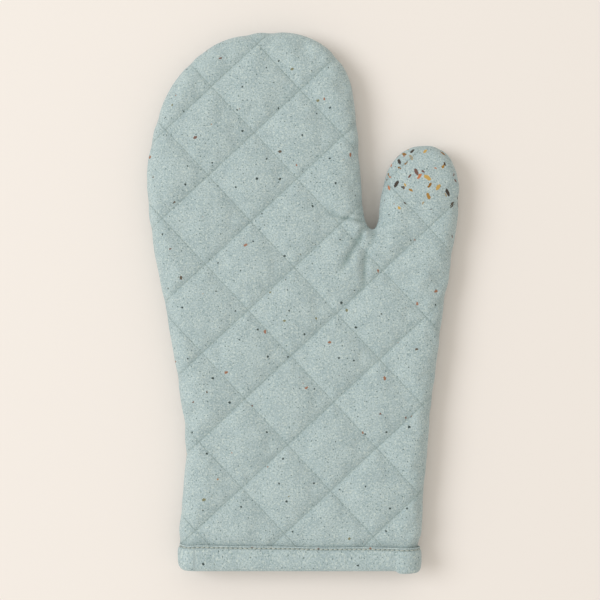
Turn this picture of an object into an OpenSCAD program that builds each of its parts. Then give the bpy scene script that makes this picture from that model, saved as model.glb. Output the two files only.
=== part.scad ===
// Quilted oven mitt lying flat on its back panel.
// X runs across the palm with the thumb at +X, Y runs from the cuff to the fingertips, and Z is up.
// Each panel is an outer cloth, a batting and a lining, quilted together. The two panels meet at a
// seam halfway up, where their edges turn in as a seam allowance, and a folded tape binds the cuff.

/* [Overall] */
// Length from the lapped end of the binding to the fingertips
mitt_l = 330; // [275:1:396]
// Width across the palm and thumb
mitt_w = 190; // [158:1:228]
// Width of the cuff
cuff_w = 148; // [124:1:178]
// Height of the two panels and the pocket between them, lying flat
mitt_h = 22; // [18.3:0.1:26.4]

/* [Cloth] */
// Thickness of the outer cloth
shell_t = 0.6; // [0.5:0.05:0.72]
// Thickness of the batting between the cloths
batting_t = 3.8; // [3.1:0.01:4.6]
// Thickness of the lining
lining_t = 0.6; // [0.5:0.05:0.72]
// How far in from the outline the panels round over
edge_r = 10; // [8.3:0.1:11]
// How far in from the outline the seam allowance reaches
allowance_w = 12; // [11:0.1:12.5]
// Thickness of one panel where it is pressed flat as seam allowance
allowance_t = 1.5; // [1.3:0.05:1.6]

/* [Quilting] */
// Distance between neighbouring rows of quilting
quilt_pitch = 38; // [32:1:45]
// Slope of the rising rows, in degrees
quilt_angle = 43; // [36:1:51]
// Width of a quilting groove at the surface
groove_w = 6; // [5:0.1:7.2]
// Depth of a quilting groove
groove_d = 1.6; // [1.4:0.1:1.9]
// Width of a thread
thread_w = 0.8; // [0.7:0.05:0.96]
// Thickness of a thread
thread_t = 0.3; // [0.25:0.01:0.36]

/* [Binding] */
// Width of the binding on each side of the cuff
binding_w = 12; // [10:0.5:14]
// Thickness of the folded tape
tape_t = 1; // [0.9:0.05:1.1]
// Thickness of the batting where the binding presses it
pressed_batting_t = 1.8; // [1.5:0.1:1.9]
// Length of the lapped end of the tape, along the cuff
lap_w = 14; // [12:0.5:16]
// How far the lapped end stands out from the cuff edge
lap_out = 2.5; // [2.1:0.1:3]

/* [Hidden] */

print_green = "#a9b9b6";
batting_white = "#f2efe6";
lining_cream = "#e6e1d3";
thread_teal = "#5f7a78";
thread_pale = "#d9ddd4";

half_h = mitt_h / 2;
panel_t = shell_t + batting_t + lining_t;

// Depths below the outer face of a panel
batting_top = shell_t;
lining_top = shell_t + batting_t;

// Heights above the seam at which the cloths lie in the seam allowance
shell_turn = 0.3 * allowance_t;
batting_turn = 0.75 * allowance_t;

// Stations along Y at the cuff
cuff_y = lap_out - mitt_l / 2;
binding_y = cuff_y + binding_w;
web_t = shell_t;
panel_y = binding_y + web_t;
stitch_y = binding_y - 2;

// Outline, clockwise from the left end of the cuff: the places it passes through on a mitt of the
// nominal size, which stretch with the width and the length
nominal = [190, 330];
places = [
  [-73, -120], [-71, -90], [-75, -52], [-84, 0], [-92, 44], [-94, 82], [-84, 123], [-63, 150],
  [-38, 162], [-12, 164.5], [13, 156], [29.5, 133], [35, 88], [38, 57], [43, 46], [46.5, 57],
  [51, 77], [61, 91], [75, 95.5], [88, 91], [95, 75], [94, 46], [87, 0], [79, -62], [75, -108]
];
stretch = [mitt_w / nominal.x, mitt_l / nominal.y];
cuff_middle = -2 * stretch.x;
cuff_left = cuff_middle - cuff_w / 2;
cuff_right = cuff_middle + cuff_w / 2;
knots = concat(
  [[cuff_left, panel_y]],
  [for (p = places) [p.x * stretch.x, p.y * stretch.y]],
  [[cuff_right, panel_y]]
);
last = len(knots) - 1;

// Smooth curve through the knots: a cubic B-spline whose control points are moved out until it
// passes through them. Past each end it goes straight down.
function with_ends(c) = concat([c[0] - [0, 30]], c, [c[last] - [0, 30]]);
function control(c, rounds) = rounds == 0 ? with_ends(c) :
  let (e = with_ends(c))
  control([for (i = [0:last]) c[i] + knots[i] - (e[i] + 4 * e[i + 1] + e[i + 2]) / 6], rounds - 1);
bends = control(knots, 3);
function spot(i, t) = (pow(1 - t, 3) * bends[i] + (3 * pow(t, 3) - 6 * t * t + 4) * bends[i + 1]
  + (-3 * pow(t, 3) + 3 * t * t + 3 * t + 1) * bends[i + 2] + pow(t, 3) * bends[i + 3]) / 6;
function heading(i, t) = -pow(1 - t, 2) * bends[i] + (3 * t * t - 4 * t) * bends[i + 1]
  + (-3 * t * t + 2 * t + 1) * bends[i + 2] + t * t * bends[i + 3];
function inward(h) = [h.y, -h.x] / norm(h);

longest_step = 14;
// Each entry is a point of the outline and the direction that points into the mitt from it
rim = concat(
  [[knots[0], [1, 0]]],
  [for (i = [0:last - 1])
    let (steps = max(2, ceil(norm(knots[i + 1] - knots[i]) / longest_step)))
    for (k = [(i == 0 ? 1 : 0):steps - 1]) [spot(i, k / steps), inward(heading(i, k / steps))]],
  [[knots[last], [-1, 0]]]
);
function inset_outline(inset) = [for (r = rim) r[0] + r[1] * inset];

// The rounded edge of a panel at a given depth, as [inset, height above the seam]
arc_steps = 4;
// How far that edge runs on over the flat of the panel
strip_overlap = 1;
function arc_point(depth, k) = let (a = 90 * k / arc_steps)
  [edge_r - (edge_r - depth) * sin(a), (half_h - depth) * cos(a)];
// Where the last chord of that edge comes down to height z
function turn_point(depth, z) = let (
  a = arc_point(depth, arc_steps - 1),
  b = arc_point(depth, arc_steps)
) b + (a - b) * z / a.y;
function edge_line(depth, turn_z) = concat(
  [[edge_r + strip_overlap, half_h - depth]],
  [for (k = [0:arc_steps - 1]) arc_point(depth, k)],
  [turn_point(depth, turn_z)],
  [[allowance_w, turn_z]]
);

// A strip that runs round the rim between two lines of [inset, height]. Line a is on its outside.
module rim_strip(a, b) {
  n = len(a);
  stations = len(rim);
  points = [for (r = rim) for (line = [a, b]) for (p = line) [each (r[0] + r[1] * p.x), p.y]];
  function at(i, side, j) = (i * 2 + side) * n + j;
  function quad(p, q, r, s) = [[p, q, r], [p, r, s]];
  sides = [for (i = [0:stations - 2]) each concat(
    [for (j = [0:n - 2]) each quad(at(i, 0, j), at(i, 0, j + 1), at(i + 1, 0, j + 1), at(i + 1, 0, j))],
    [for (j = [0:n - 2]) each quad(at(i, 1, j), at(i + 1, 1, j), at(i + 1, 1, j + 1), at(i, 1, j + 1))],
    quad(at(i, 0, 0), at(i + 1, 0, 0), at(i + 1, 1, 0), at(i, 1, 0)),
    quad(at(i, 0, n - 1), at(i, 1, n - 1), at(i + 1, 1, n - 1), at(i + 1, 0, n - 1))
  )];
  function cap(i) = [for (j = [0:n - 2]) [at(i, 1, j), at(i, 1, j + 1), at(i, 0, j + 1), at(i, 0, j)]];
  function turned(faces) = [for (f = faces) [f[3], f[2], f[1], f[0]]];
  polyhedron(points, concat(sides, cap(0), turned(cap(stations - 1))));
}

// Cross-sections of the cuff in X and Z, where the tube of cloth is straight
function half_section(depth) = concat(
  [for (k = [arc_steps:-1:0]) let (p = arc_point(depth, k)) [cuff_left + p.x, p.y]],
  [for (k = [0:arc_steps]) let (p = arc_point(depth, k)) [cuff_right - p.x, p.y]]
);
function reversed(list) = [for (i = [len(list) - 1:-1:0]) list[i]];
function full_section(depth) = let (top = half_section(depth))
  concat(top, [for (i = [len(top) - 2:-1:1]) [top[i].x, -top[i].y]]);

module along_cuff(from_y, to_y) {
  translate([0, to_y, 0]) rotate([90, 0, 0]) linear_extrude(to_y - from_y) children();
}
module half_ring(from_depth, to_depth, from_y, to_y) {
  along_cuff(from_y, to_y) polygon(concat(half_section(from_depth), reversed(half_section(to_depth))));
}
module full_ring(from_depth, to_depth, from_y, to_y) {
  along_cuff(from_y, to_y) difference() {
    polygon(full_section(from_depth));
    polygon(full_section(to_depth));
  }
}

// Rows of quilting. The falling rows cross the rising ones at right angles, and are sewn second, so
// they lie one thread higher.
quilt_cross = [-31 * stretch.x, 49 * stretch.y];
row_reach = 240 * max(stretch.x, stretch.y);
row_count = ceil(row_reach / quilt_pitch);
rising = quilt_angle;
falling = quilt_angle - 90;
stitched_w = edge_r + 2;
module rows(direction) {
  translate(quilt_cross) rotate(direction) for (k = [-row_count:row_count])
    translate([0, k * quilt_pitch, 0]) rotate([90, 0, 90]) linear_extrude(2 * row_reach, center = true)
      children();
}
module grooves(direction, depth, surface_z, inset) {
  slope = (groove_w - thread_w) / 2 / groove_d;
  intersection() {
    rows(direction) polygon([
      [-thread_w / 2, surface_z - depth], [thread_w / 2, surface_z - depth],
      [thread_w / 2 + slope * (depth + 1), surface_z + 1],
      [-thread_w / 2 - slope * (depth + 1), surface_z + 1]
    ]);
    stitched_plate(surface_z - depth - 1, surface_z + 2, inset);
  }
}
module thread_rows(direction, from_z, to_z) {
  intersection() {
    rows(direction) translate([-thread_w / 2, from_z]) square([thread_w, to_z - from_z]);
    stitched_plate(from_z - 1, to_z + 1, stitched_w);
  }
}
module flat_plate(from_z, to_z) {
  translate([0, 0, from_z]) linear_extrude(to_z - from_z) polygon(inset_outline(edge_r));
}
// The part of the plate that the rows cross, which also ends short of the cuff
module stitched_plate(from_z, to_z, inset) {
  translate([0, 0, from_z]) linear_extrude(to_z - from_z) intersection() {
    polygon(inset_outline(inset));
    translate([-mitt_w, panel_y + inset - edge_r]) square([2 * mitt_w, 2 * mitt_l]);
  }
}

// The outer face of the batting. Everything under it is solid, out past the edge of the panel.
module under_shell() {
  top = half_h - batting_top;
  difference() {
    translate([-mitt_w, -mitt_l, 0]) cube([2 * mitt_w, 2 * mitt_l, top]);
    quilting_grooves(top, stitched_w - shell_t);
  }
}
module quilting_grooves(surface_z, inset) {
  grooves(rising, groove_d, surface_z, inset);
  grooves(falling, groove_d - thread_t, surface_z, inset);
}

// The cloths of one panel, above the seam plane
module shell_half() {
  difference() {
    flat_plate(half_h - batting_top - groove_d - 1, half_h);
    quilting_grooves(half_h, stitched_w);
    under_shell();
  }
  rim_strip(edge_line(0, 0), edge_line(batting_top, shell_turn));
  half_ring(0, tape_t + shell_t, binding_y, panel_y);
  half_ring(tape_t, tape_t + shell_t, cuff_y + tape_t, binding_y);
}
module batting_half() {
  pressed_from = tape_t + shell_t;
  pressed_to = pressed_from + pressed_batting_t;
  intersection() {
    flat_plate(half_h - lining_top, half_h);
    under_shell();
  }
  rim_strip(edge_line(batting_top, shell_turn), edge_line(lining_top, batting_turn));
  half_ring(pressed_from, pressed_to, cuff_y + tape_t, panel_y);
}
module lining_half() {
  pressed_from = tape_t + shell_t + pressed_batting_t;
  inner_z = half_h - panel_t;
  difference() {
    flat_plate(inner_z, half_h - lining_top);
    thread_rows(rising, inner_z - 1, inner_z + thread_t);
  }
  rim_strip(edge_line(lining_top, batting_turn), edge_line(panel_t, allowance_t));
  half_ring(pressed_from, panel_t, binding_y, panel_y);
  half_ring(pressed_from, pressed_from + lining_t, cuff_y + tape_t, binding_y);
}
module on_front() { translate([0, 0, half_h]) children(); }
module on_back() { translate([0, 0, half_h]) mirror([0, 0, 1]) children(); }

module needle_rising() { thread_rows(rising, half_h - groove_d, half_h - groove_d + thread_t); }
module needle_falling() { thread_rows(falling, half_h - groove_d + thread_t, half_h - groove_d + 2 * thread_t); }
module bobbin_rising() { thread_rows(rising, half_h - panel_t, half_h - panel_t + thread_t); }
module bobbin_falling() { thread_rows(falling, half_h - panel_t - thread_t, half_h - panel_t); }

// The seam stitches lie on the seam allowance, close to the wall of the pocket
module seam_row() {
  from = panel_t + 1.2;
  to = from + thread_w;
  rim_strip(
    [[from, allowance_t], [to, allowance_t]],
    [[from, allowance_t + thread_t], [to, allowance_t + thread_t]]
  );
}

module front_shell() { color(print_green) on_front() shell_half(); }
module front_batting() { color(batting_white) on_front() batting_half(); }
module front_lining() { color(lining_cream) on_front() lining_half(); }
module back_shell() { color(print_green) on_back() shell_half(); }
module back_batting() { color(batting_white) on_back() batting_half(); }
module back_lining() { color(lining_cream) on_back() lining_half(); }

module front_quilting_rising() { color(thread_teal) on_front() needle_rising(); }
module front_quilting_falling() { color(thread_teal) on_front() needle_falling(); }
module front_bobbin_rising() { color(thread_pale) on_front() bobbin_rising(); }
module front_bobbin_falling() { color(thread_pale) on_front() bobbin_falling(); }
module back_quilting_rising() { color(thread_teal) on_back() needle_rising(); }
module back_quilting_falling() { color(thread_teal) on_back() needle_falling(); }
module back_bobbin_rising() { color(thread_pale) on_back() bobbin_rising(); }
module back_bobbin_falling() { color(thread_pale) on_back() bobbin_falling(); }

module side_seam_needle_thread() { color(thread_pale) on_front() seam_row(); }
module side_seam_bobbin_thread() { color(thread_pale) on_back() seam_row(); }

// Thread wrapped over the raw edges of the whole seam allowance
module overlock_thread() {
  reach = allowance_w - 3;
  outer_w = allowance_w + thread_t;
  outer_z = allowance_t + thread_t;
  color(thread_pale) on_front() rim_strip(
    [[reach, -outer_z], [outer_w, -outer_z], [outer_w, outer_z], [reach, outer_z]],
    [[reach, -allowance_t], [allowance_w, -allowance_t], [allowance_w, allowance_t], [reach, allowance_t]]
  );
}

// One tape folded over the cuff edge, all the way round, with its end folded over at the thumb side
module cuff_binding() {
  color(print_green) on_front() {
    difference() {
      full_ring(0, tape_t, cuff_y + tape_t, binding_y);
      topstitch_outer();
    }
    difference() {
      full_ring(panel_t - tape_t, panel_t, cuff_y + tape_t, binding_y);
      topstitch_inner();
    }
    full_ring(0, panel_t, cuff_y, cuff_y + tape_t);
    lap(-tape_t, 0, cuff_y - lap_out, stitch_y - thread_w - 1);
    lap(-tape_t, panel_t, cuff_y - lap_out, cuff_y);
  }
}
module lap(from_depth, to_depth, from_y, to_y) {
  intersection() {
    half_ring(from_depth, to_depth, from_y, to_y);
    translate([cuff_right - lap_w, from_y - 1, 0]) cube([2 * lap_w, to_y - from_y + 2, mitt_h]);
  }
}
module topstitch_outer() { full_ring(0, thread_t, stitch_y - thread_w, stitch_y); }
module topstitch_inner() { full_ring(panel_t - thread_t, panel_t, stitch_y - thread_w, stitch_y); }
module binding_topstitch_outer() { color(thread_pale) on_front() topstitch_outer(); }
module binding_topstitch_inner() { color(thread_pale) on_front() topstitch_inner(); }

front_shell();
front_batting();
front_lining();
back_shell();
back_batting();
back_lining();
cuff_binding();
front_quilting_rising();
front_quilting_falling();
front_bobbin_rising();
front_bobbin_falling();
back_quilting_rising();
back_quilting_falling();
back_bobbin_rising();
back_bobbin_falling();
side_seam_needle_thread();
side_seam_bobbin_thread();
overlock_thread();
binding_topstitch_outer();
binding_topstitch_inner();
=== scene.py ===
"""Looks of the quilted oven mitt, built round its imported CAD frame.

Each panel is made from two surfaces that share one layout of points: the outer face of the cloth and
the inner face of the lining. The cloth, the batting and the lining are slices between the two."""

import math

import bmesh
import bpy
import numpy as np
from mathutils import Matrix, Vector, noise
from mathutils.bvhtree import BVHTree
from mathutils.geometry import delaunay_2d_cdt


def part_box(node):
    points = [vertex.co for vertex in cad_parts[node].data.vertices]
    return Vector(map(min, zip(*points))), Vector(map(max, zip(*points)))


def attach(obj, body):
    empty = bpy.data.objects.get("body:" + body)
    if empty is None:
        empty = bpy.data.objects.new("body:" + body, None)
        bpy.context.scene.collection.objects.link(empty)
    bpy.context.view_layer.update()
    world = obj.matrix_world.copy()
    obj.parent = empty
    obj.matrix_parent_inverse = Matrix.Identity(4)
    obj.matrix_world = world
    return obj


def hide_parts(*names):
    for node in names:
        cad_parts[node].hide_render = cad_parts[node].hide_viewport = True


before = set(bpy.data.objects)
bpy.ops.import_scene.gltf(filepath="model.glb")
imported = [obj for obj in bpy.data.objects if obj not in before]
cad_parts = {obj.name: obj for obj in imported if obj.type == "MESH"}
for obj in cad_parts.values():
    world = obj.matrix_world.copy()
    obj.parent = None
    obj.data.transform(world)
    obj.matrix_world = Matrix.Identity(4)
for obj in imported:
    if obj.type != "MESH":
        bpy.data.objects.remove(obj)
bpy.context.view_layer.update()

MM = 0.001

# Measures read from the CAD frame
MID_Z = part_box("front_shell")[0].z
TOP_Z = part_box("front_shell")[1].z
HALF_H = TOP_Z - MID_Z
PANEL_T = TOP_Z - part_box("front_bobbin_rising")[0].z
TAPE_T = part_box("cuff_binding")[1].z - TOP_Z
BINDING_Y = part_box("cuff_binding")[1].y
CUFF_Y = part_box("front_batting")[0].y - TAPE_T
CUFF_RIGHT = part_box("binding_topstitch_outer")[1].x
ALLOWANCE_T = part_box("overlock_thread")[1].z - MID_Z - 0.3 * MM

# Shape of the panels
EDGE_R = 10 * MM  # how far in from the outline a panel rounds over
ALLOWANCE_W = 12 * MM  # how far in the seam allowance reaches
GROOVE_D = 2.3 * MM  # how far a row of quilting pulls the cloth in
CREASE_D = 0.95 * MM  # how much deeper the cloth folds along the stitches themselves
SEAM_PINCH = 0.6 * MM  # how far the seam pulls in the edge
TAPE_EASE = 2.6 * MM  # the tape is this much wider than its plain width at the middle of the cuff
TAPE_SLANT = 0.9 * MM  # and its upper edge slants by this much to each side
EDGE_PUFF = 0.7 * MM  # how far the padding fills out the edge beside the seam
PRESS = 1.15 * MM  # how much thinner a panel is under the binding
ROW_PULL = 0.55 * MM  # how far a row of quilting pulls in the edge where it meets it
STATION_GAP = 2.5 * MM
CELLS_PER_DIAMOND = 16
EDGE_ANGLES = [0, 12, 24, 35, 46, 56, 65, 73, 80, 85, 88, 90]
FLANGE_STEPS = [0.12, 0.4, 0.7, 1.0]

# Print
WEAVE_PITCH = 0.62 * MM
WARM_COLOURS = [  # as sRGB from 0 to 255
    (148, 96, 64),
    (166, 120, 70),
    (120, 116, 80),
    (112, 72, 58),
    (84, 64, 44),
    (156, 104, 78),
]
CHIP_COLOURS = [
    (76, 58, 44),
    (160, 122, 62),
    (160, 148, 124),
    (184, 118, 80),
    (66, 58, 52),
    (140, 100, 46),
    (190, 156, 88),
    (112, 84, 76),
]
CHIP_TURNS = (0.95, -0.6, 2.0)  # ways that the long flecks on the thumb point, in radians
WARM_TURNS = (0.35, 1.7)  # and the ones elsewhere

# Stitches
STITCH_PITCH = 3.0 * MM
THREAD_R = 0.22 * MM


# ---------------------------------------------------------------- outline and quilting, from the frame


def merged(node):
    """A CAD node's mesh with its split corners joined."""
    bm = bmesh.new()
    bm.from_mesh(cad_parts[node].data)
    bmesh.ops.remove_doubles(bm, verts=bm.verts, dist=0.01 * MM)
    return bm


def cad_rim():
    """The outline of the mitt above the binding, clockwise from the left end of the cuff."""
    bm = merged("front_shell")
    links = {}
    for edge in bm.edges:
        a, b = edge.verts
        on_seam = all(abs(v.co.z - MID_Z) < 0.01 * MM and v.co.y > BINDING_Y + 0.1 * MM for v in (a, b))
        outside = any(max(v.co.z for v in face.verts) > MID_Z + 2 * MM for face in edge.link_faces)
        if on_seam and outside:
            links.setdefault(a, []).append(b)
            links.setdefault(b, []).append(a)
    here = min((v for v in links if len(links[v]) == 1), key=lambda v: v.co.x)
    chain = [here]
    while True:
        following = [v for v in links[chain[-1]] if len(chain) < 2 or v is not chain[-2]]
        if not following:
            break
        chain.append(following[0])
    points = np.array([v.co.xy[:] for v in chain])
    bm.free()
    return points


def row_family(node):
    """The rows of one direction of quilting, as (unit normal, offset of one row, pitch)."""
    bm = merged(node)
    longest = max(bm.edges, key=lambda e: e.calc_length())
    along = (longest.verts[1].co - longest.verts[0].co).xy.normalized()
    normal = np.array([-along.y, along.x])
    seen, offsets = set(), []
    for vert in bm.verts:
        if vert in seen:
            continue
        island, todo = [], [vert]
        while todo:
            v = todo.pop()
            if v in seen:
                continue
            seen.add(v)
            island.append(v)
            todo += [e.other_vert(v) for e in v.link_edges]
        across = [float(np.dot(normal, v.co.xy)) for v in island]
        offsets.append((min(across) + max(across)) / 2)
    bm.free()
    # A row that the outline cuts in two comes as two strips with one offset
    gaps = np.diff(sorted(offsets))
    return normal, min(offsets), float(np.min(gaps[gaps > 5 * MM]))


RISING = row_family("front_quilting_rising")
FALLING = row_family("front_quilting_falling")
PITCH = RISING[2]


def row_place(points, family):
    """How many pitches each point lies across the rows, counted from one of them."""
    normal, offset, pitch = family
    return (np.asarray(points)[..., :2] @ normal - offset) / pitch


def row_distance(points, family):
    """Distance in metres from the nearest row of one direction."""
    place = row_place(points, family)
    return np.abs(place - np.round(place)) * family[2]


def nearest_row(points):
    """Distance in metres from the nearest row of either direction."""
    return np.minimum(row_distance(points, RISING), row_distance(points, FALLING))


def smooth_path(points, step):
    """A smooth line through the points, sampled every step or so."""
    gaps = np.linalg.norm(np.diff(points, axis=0), axis=1)
    slopes = np.zeros_like(points)
    inner = (points[1:-1] - points[:-2]) / gaps[:-1, None] * gaps[1:, None]
    inner += (points[2:] - points[1:-1]) / gaps[1:, None] * gaps[:-1, None]
    slopes[1:-1] = inner / (gaps[:-1] + gaps[1:])[:, None]
    slopes[0], slopes[-1] = (0, 1), (0, -1)
    out = []
    for i, gap in enumerate(gaps):
        for t in np.arange(0, 1, 1 / max(2, math.ceil(gap / step))):
            out.append(
                (2 * t**3 - 3 * t**2 + 1) * points[i]
                + (t**3 - 2 * t**2 + t) * gap * slopes[i]
                + (-2 * t**3 + 3 * t**2) * points[i + 1]
                + (t**3 - t**2) * gap * slopes[i + 1]
            )
    return np.array(out + [points[-1]])


def stations():
    """Points along the whole outline with their inward normals, closer together where it bends inwards."""
    rim = cad_rim()
    foot = CUFF_Y + 1.2 * MM
    rim = np.vstack([[rim[0][0], foot], [rim[0][0], (foot + rim[0][1]) / 2], rim])
    rim = np.vstack([rim, [rim[-1][0], (foot + rim[-1][1]) / 2], [rim[-1][0], foot]])
    fine = smooth_path(rim, 0.4 * MM)
    step = np.gradient(fine, axis=0)
    length = np.linalg.norm(step, axis=1)
    heading = np.unwrap(np.arctan2(step[:, 1], step[:, 0]))
    bend = np.gradient(heading) / length
    bend = np.convolve(np.pad(bend, 6, "edge"), np.ones(13) / 13, "valid")
    density = (1 + 1.3 * np.clip(bend, 0, None) * EDGE_R) / STATION_GAP
    total = np.concatenate([[0], np.cumsum((density[1:] + density[:-1]) / 2 * length[1:])])
    wanted = np.linspace(0, total[-1], int(total[-1]) + 1)
    points = np.stack([np.interp(wanted, total, fine[:, k]) for k in (0, 1)], 1)
    turn = np.interp(wanted, total, heading)
    normals = np.stack([np.sin(turn), -np.cos(turn)], 1)
    normals[0], normals[-1] = (1, 0), (-1, 0)
    return points, normals


RIM, INWARD = stations()
high_side = RIM[:, 0] > CUFF_RIGHT - 60 * MM
crotch_index = min(
    (i for i in range(40, len(RIM) - 40) if RIM[i - 8, 1] > RIM[i, 1] < RIM[i + 8, 1] and high_side[i]),
    key=lambda i: RIM[i, 1],
)
CROTCH = RIM[crotch_index]


# ---------------------------------------------------------------- numbers and noise


def smooth(low, high, value):
    t = np.clip((np.asarray(value, float) - low) / (high - low), 0, 1)
    return t * t * (3 - 2 * t)


def wander(points, size, seed):
    """Smooth noise from -1 to 1 over points, with features of the given size."""
    return np.array([noise.noise((p[0] / size + seed, p[1] / size - seed, seed * 0.37)) for p in points])


def tape_rise(x):
    """How much higher than its plain width the tape was sewn on, more so on the side away from the thumb."""
    return TAPE_EASE - TAPE_SLANT * x / CUFF_RIGHT


def pressed(points):
    """1 where the binding presses the panel and 0 above it."""
    edge = BINDING_Y + tape_rise(points[:, 0])
    return 1 - smooth(edge - 0.5 * MM, edge + 9 * MM, points[:, 1])


def mesh_of(name, points, faces):
    mesh = bpy.data.meshes.new(name)
    mesh.from_pydata([tuple(p) for p in points], [], faces)
    mesh.validate()
    mesh.update()
    return mesh


# ---------------------------------------------------------------- layout of a panel's points


def edge_place(angle, depth):
    """[inset, height above the seam] on the rounded edge, at a depth below the outer face."""
    a = math.radians(angle)
    return EDGE_R - (EDGE_R - depth) * math.sin(a), (HALF_H - depth) * math.cos(a)


def flat_layout():
    """Points of the flat of a panel and its faces: a grid that lies along the rows of quilting, cut off
    at the start of the rounded edge. The first points are the stations, in order."""
    border = RIM + INWARD * EDGE_R
    cell = PITCH / CELLS_PER_DIAMOND
    bottom = np.arange(border[-1][0] - cell, border[0][0] + cell / 2, -cell)
    bottom = np.stack([bottom, np.full(len(bottom), border[0][1])], 1)
    loop = np.vstack([border, bottom])
    low, high = loop.min(0), loop.max(0)
    corners = np.array([[x, y] for x in (low[0], high[0]) for y in (low[1], high[1])])
    spans = [row_place(corners, f) * CELLS_PER_DIAMOND for f in (RISING, FALLING)]
    grid = [
        RISING[0] * (RISING[1] + i * cell) + FALLING[0] * (FALLING[1] + j * cell)
        for i in range(math.floor(spans[0].min()), math.ceil(spans[0].max()) + 1)
        for j in range(math.floor(spans[1].min()), math.ceil(spans[1].max()) + 1)
    ]
    grid = np.array(grid)
    grid = grid[inside(grid, loop) & (clearance(grid, loop) > 0.55 * cell)]
    points = np.vstack([loop, grid])
    count = len(loop)
    found = delaunay_2d_cdt(
        [Vector(p) for p in points], [], [list(range(count))[::-1]], 1, 1e-7
    )
    places, _, faces, origins, _, _ = found
    if len(places) != len(points):
        raise RuntimeError("the flat of the panel didn't keep its points")
    index = [o[0] for o in origins]
    faces = [[index[v] for v in f] for f in faces]
    return points, faces


def inside(points, loop):
    crossings = np.zeros(len(points), int)
    following = np.roll(loop, -1, axis=0)
    for a, b in zip(loop, following):
        spans = (a[1] > points[:, 1]) != (b[1] > points[:, 1])
        slope = (b[0] - a[0]) / (b[1] - a[1] if b[1] != a[1] else 1e-12)
        crossings += spans & (points[:, 0] < a[0] + (points[:, 1] - a[1]) * slope)
    return crossings % 2 == 1


def clearance(points, loop):
    """Distance from each point to the nearest segment of the loop."""
    best = np.full(len(points), np.inf)
    following = np.roll(loop, -1, axis=0)
    for a, b in zip(loop, following):
        ab = b - a
        t = np.clip(((points - a) @ ab) / max(ab @ ab, 1e-18), 0, 1)
        best = np.minimum(best, np.linalg.norm(points - a - t[:, None] * ab, axis=1))
    return best


FLAT, FLAT_FACES = flat_layout()
COUNT = len(RIM)
RINGS = len(EDGE_ANGLES) - 1
FLANGES = len(FLANGE_STEPS)


def ring_index(ring, station):
    """Ring 0 is the border of the flat. The next ones go down the edge, and the last ones turn in."""
    return station if ring == 0 else len(FLAT) + (ring - 1) * COUNT + station


def layout_faces():
    faces = [list(f) for f in FLAT_FACES]
    for ring in range(RINGS + FLANGES):
        for i in range(COUNT - 1):
            near, far = ring_index(ring, i), ring_index(ring, i + 1)
            faces.append([near, far, ring_index(ring + 1, i + 1), ring_index(ring + 1, i)])
    return faces


def paired(faces, places):
    """The faces with their triangles joined in pairs, so that the cloth is made of squares."""
    bm = bmesh.new()
    bm.from_mesh(mesh_of("pairing", np.column_stack([places, np.zeros(len(places))]), faces))
    triangles = [f for f in bm.faces if len(f.verts) == 3]
    bmesh.ops.join_triangles(
        bm, faces=triangles, angle_face_threshold=math.pi, angle_shape_threshold=math.pi
    )
    out = [[v.index for v in f.verts] for f in bm.faces]
    bm.free()
    return out


def cloth_places():
    """Where each point of the layout lies on the flat printed cloth, before it is sewn."""
    out = [FLAT]
    run = 0.0
    before = edge_place(0, 0)
    for angle in EDGE_ANGLES[1:]:
        here = edge_place(angle, 0)
        run += math.dist(before, here)
        before = here
        out.append(RIM + INWARD * (EDGE_R - run))
    for share in FLANGE_STEPS:
        out.append(RIM + INWARD * (EDGE_R - run - share * ALLOWANCE_W))
    return np.vstack(out)


CLOTH = cloth_places()
FACES = paired(layout_faces(), CLOTH)


def surface(depth_at):
    """The points of one face of a panel, as metres above the seam. depth_at(plan points, edge angle)
    gives its depth below the plain outer face."""
    depth = depth_at(FLAT, 0)
    out = [np.column_stack([FLAT, HALF_H - depth])]
    for angle in EDGE_ANGLES[1:]:
        plan = RIM + INWARD * edge_place(angle, 0)[0]
        depth = depth_at(plan, angle)
        a = math.radians(angle)
        inset = EDGE_R - (EDGE_R - depth) * math.sin(a)
        height = (HALF_H - depth) * math.cos(a)
        out.append(np.column_stack([RIM + INWARD * inset[:, None], height]))
    return out


def flange_rows(start_inset, height):
    """The seam allowance, from the wall of the pocket inwards. It stops short under the binding."""
    squeeze = pressed(RIM)
    end = ALLOWANCE_W * (1 - squeeze) + (PANEL_T + 0.4 * MM) * squeeze
    rows = []
    for share in FLANGE_STEPS:
        inset = start_inset + (end - start_inset) * share
        ripple = 0.25 * MM * share * wander(RIM, 9 * MM, 3.1)
        level = np.full(COUNT, height) + ripple * (height > 0.5 * MM)
        rows.append(np.column_stack([RIM + INWARD * inset[:, None], level]))
    return rows


def groove(points):
    """1 on a row of quilting, falling to 0 inside a diamond."""
    near = [np.exp(-row_distance(points, f) / (3.4 * MM)) for f in (RISING, FALLING)]
    return 1 - (1 - near[0]) * (1 - near[1])


def thumb_share(points):
    """1 on the thumb, where the narrow panel leaves the padding little room to puff, and 0 elsewhere."""
    points = np.asarray(points)
    right = smooth(CROTCH[0] + 2 * MM, CROTCH[0] + 12 * MM, points[:, 0])
    return right * smooth(CROTCH[1] - 18 * MM, CROTCH[1] + 8 * MM, points[:, 1])


def row_crease(points):
    """How far the cloth folds in along the stitches. It folds more softly along the falling rows."""
    strength = 0.75 + 0.5 * wander(points, 21 * MM, 6.2)
    rising = CREASE_D * np.exp(-row_distance(points, RISING) / (1.5 * MM))
    falling = 0.55 * CREASE_D * np.exp(-row_distance(points, FALLING) / (2.4 * MM))
    return strength * np.maximum(rising, falling * (0.6 + 0.8 * strength)) * (1 - 0.6 * thumb_share(points))


def outer_depth(points, angle, lying, rise):
    """Depth of the outer face: lying is the share of the groove's depth that all of it has, rise the rest,
    which only the rows have."""
    fade = math.cos(math.radians(angle)) ** 0.6 if angle < 90 else 0
    lie = GROOVE_D * fade * (lying + rise * groove(points))
    return lie, edge_details(points, angle) + PRESS * pressed(points)


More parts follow.
